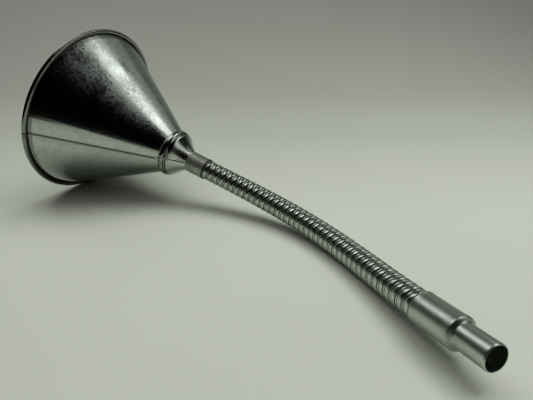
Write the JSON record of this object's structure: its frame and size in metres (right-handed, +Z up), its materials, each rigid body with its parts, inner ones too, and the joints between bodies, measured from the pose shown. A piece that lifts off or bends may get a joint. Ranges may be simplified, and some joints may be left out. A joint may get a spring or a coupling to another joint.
{
  "type": "flexible spout funnel",
  "caption": "Sheet metal funnel with a wired round mouth, a soldered neck and a bendable interlocked metal hose ending in a stepped outlet tube.",
  "frame": {"origin": "centre of the part's outline on the surface it lies on", "axes": "+X level, from the mouth towards the spout, the way the bowl's axis points seen from above; +Z up, away from the surface; the nozzle bends off towards -Y"},
  "size_m": [0.3756, 0.2114, 0.1446],
  "materials": {
    "bowl_sheet": "bright galvanised sheet",
    "neck_sheet": "bright galvanised sheet",
    "wire": "plain steel wire",
    "solder": "dull soft solder",
    "ferrule": "dull zinc",
    "hose": "satin galvanised strip",
    "nozzle": "satin plated steel"
  },
  "bodies": {
    "funnel": {"bowl": "bowl_sheet", "rim_wire": "wire", "neck_solder": "solder", "neck_cone": "neck_sheet", "ferrule_solder": "solder", "ferrule": "ferrule", "hose_root": "hose"},
    "link_01": {"link_01": "hose"},
    "link_02": {"link_02": "hose"},
    "link_03": {"link_03": "hose"},
    "link_04": {"link_04": "hose"},
    "link_05": {"link_05": "hose"},
    "link_06": {"link_06": "hose"},
    "link_07": {"link_07": "hose"},
    "link_08": {"link_08": "hose"},
    "link_09": {"link_09": "hose"},
    "link_10": {"link_10": "hose"},
    "link_11": {"link_11": "hose"},
    "link_12": {"link_12": "hose"},
    "link_13": {"link_13": "hose"},
    "link_14": {"link_14": "hose"},
    "link_15": {"link_15": "hose"},
    "link_16": {"link_16": "hose"},
    "link_17": {"link_17": "hose"},
    "link_18": {"link_18": "hose"},
    "link_19": {"link_19": "hose"},
    "nozzle": {"hose_end": "hose", "nozzle": "nozzle"}
  },
  "joints": [
    {"name": "upper_spout_sideways", "type": "hinge", "parent": "funnel", "child": "link_01", "pos_m": [-0.03599, 0.02981, 0.03058], "axis": [0.3024, -0.0052, 0.9532], "range_deg": [-11, 11]},
    {"name": "upper_spout_lift", "type": "hinge", "parent": "link_01", "child": "link_02", "pos_m": [-0.02519, 0.02944, 0.02727], "axis": [-0.0544, -0.9985, 0], "range_deg": [-11, 11]},
    {"name": "upper_spout_sideways_2", "type": "hinge", "parent": "link_02", "child": "link_03", "pos_m": [-0.01435, 0.02863, 0.02421], "axis": [0.2588, -0.0254, 0.9656], "range_deg": [-11, 11]},
    {"name": "upper_spout_lift_2", "type": "hinge", "parent": "link_03", "child": "link_04", "pos_m": [-0.00348, 0.0273, 0.0214], "axis": [-0.1461, -0.9893, 0], "range_deg": [-11, 11]},
    {"name": "upper_spout_sideways_3", "type": "hinge", "parent": "link_04", "child": "link_05", "pos_m": [0.00737, 0.02542, 0.01885], "axis": [0.2091, -0.0423, 0.977], "range_deg": [-11, 11]},
    {"name": "upper_spout_lift_3", "type": "hinge", "parent": "link_05", "child": "link_06", "pos_m": [0.01815, 0.02293, 0.01658], "axis": [-0.2523, -0.9676, 0], "range_deg": [-11, 11]},
    {"name": "upper_spout_sideways_4", "type": "hinge", "parent": "link_06", "child": "link_07", "pos_m": [0.02883, 0.01982, 0.01458], "axis": [0.156, -0.0505, 0.9865], "range_deg": [-11, 11]},
    {"name": "upper_spout_lift_4", "type": "hinge", "parent": "link_07", "child": "link_08", "pos_m": [0.03935, 0.01607, 0.01287], "axis": [-0.3631, -0.9318, 0], "range_deg": [-11, 11]},
    {"name": "upper_spout_sideways_5", "type": "hinge", "parent": "link_08", "child": "link_09", "pos_m": [0.04967, 0.0117, 0.01145], "axis": [0.1033, -0.0474, 0.9935], "range_deg": [-11, 11]},
    {"name": "upper_spout_lift_5", "type": "hinge", "parent": "link_09", "child": "link_10", "pos_m": [0.05975, 0.00671, 0.01031], "axis": [-0.4687, -0.8834, 0], "range_deg": [-11, 11]},
    {"name": "lower_spout_sideways", "type": "hinge", "parent": "link_10", "child": "link_11", "pos_m": [0.06955, 0.00115, 0.00944], "axis": [0.055, -0.0332, 0.9979], "range_deg": [-11, 11]},
    {"name": "lower_spout_lift", "type": "hinge", "parent": "link_11", "child": "link_12", "pos_m": [0.07905, -0.00494, 0.00886], "axis": [-0.561, -0.8278, 0], "range_deg": [-11, 11]},
    {"name": "lower_spout_sideways_2", "type": "hinge", "parent": "link_12", "child": "link_13", "pos_m": [0.08823, -0.01151, 0.00853], "axis": [0.0139, -0.0104, 0.9998], "range_deg": [-11, 11]},
    {"name": "lower_spout_lift_2", "type": "hinge", "parent": "link_13", "child": "link_14", "pos_m": [0.09712, -0.0185, 0.00846], "axis": [-0.6339, -0.7735, 0], "range_deg": [-11, 11]},
    {"name": "lower_spout_sideways_3", "type": "hinge", "parent": "link_14", "child": "link_15", "pos_m": [0.10571, -0.02583, 0.00863], "axis": [-0.0187, 0.0165, 0.9997], "range_deg": [-11, 11]},
    {"name": "lower_spout_lift_3", "type": "hinge", "parent": "link_15", "child": "link_16", "pos_m": [0.11405, -0.03344, 0.00903], "axis": [-0.6834, -0.73, 0], "range_deg": [-11, 11]},
    {"name": "lower_spout_sideways_4", "type": "hinge", "parent": "link_16", "child": "link_17", "pos_m": [0.12219, -0.04126, 0.00962], "axis": [-0.0437, 0.0426, 0.9981], "range_deg": [-11, 11]},
    {"name": "lower_spout_lift_4", "type": "hinge", "parent": "link_17", "child": "link_18", "pos_m": [0.13019, -0.0492, 0.0104], "axis": [-0.7069, -0.7074, 0], "range_deg": [-11, 11]},
    {"name": "lower_spout_sideways_5", "type": "hinge", "parent": "link_18", "child": "link_19", "pos_m": [0.13813, -0.05719, 0.01134], "axis": [-0.063, 0.0631, 0.996], "range_deg": [-11, 11]},
    {"name": "lower_spout_lift_5", "type": "hinge", "parent": "link_19", "child": "nozzle", "pos_m": [0.14609, -0.06513, 0.01242], "axis": [-0.7005, -0.7137, 0], "range_deg": [-11, 11]}
  ],
  "couplings": [
    {"joint": "upper_spout_sideways_2", "follows": "upper_spout_sideways", "ratio": 1},
    {"joint": "upper_spout_lift_2", "follows": "upper_spout_lift", "ratio": 1},
    {"joint": "upper_spout_sideways_3", "follows": "upper_spout_sideways", "ratio": 1},
    {"joint": "upper_spout_lift_3", "follows": "upper_spout_lift", "ratio": 1},
    {"joint": "upper_spout_sideways_4", "follows": "upper_spout_sideways", "ratio": 1},
    {"joint": "upper_spout_lift_4", "follows": "upper_spout_lift", "ratio": 1},
    {"joint": "upper_spout_sideways_5", "follows": "upper_spout_sideways", "ratio": 1},
    {"joint": "upper_spout_lift_5", "follows": "upper_spout_lift", "ratio": 1},
    {"joint": "lower_spout_sideways_2", "follows": "lower_spout_sideways", "ratio": 1},
    {"joint": "lower_spout_lift_2", "follows": "lower_spout_lift", "ratio": 1},
    {"joint": "lower_spout_sideways_3", "follows": "lower_spout_sideways", "ratio": 1},
    {"joint": "lower_spout_lift_3", "follows": "lower_spout_lift", "ratio": 1},
    {"joint": "lower_spout_sideways_4", "follows": "lower_spout_sideways", "ratio": 1},
    {"joint": "lower_spout_lift_4", "follows": "lower_spout_lift", "ratio": 1},
    {"joint": "lower_spout_sideways_5", "follows": "lower_spout_sideways", "ratio": 1},
    {"joint": "lower_spout_lift_5", "follows": "lower_spout_lift", "ratio": 1}
  ]
}
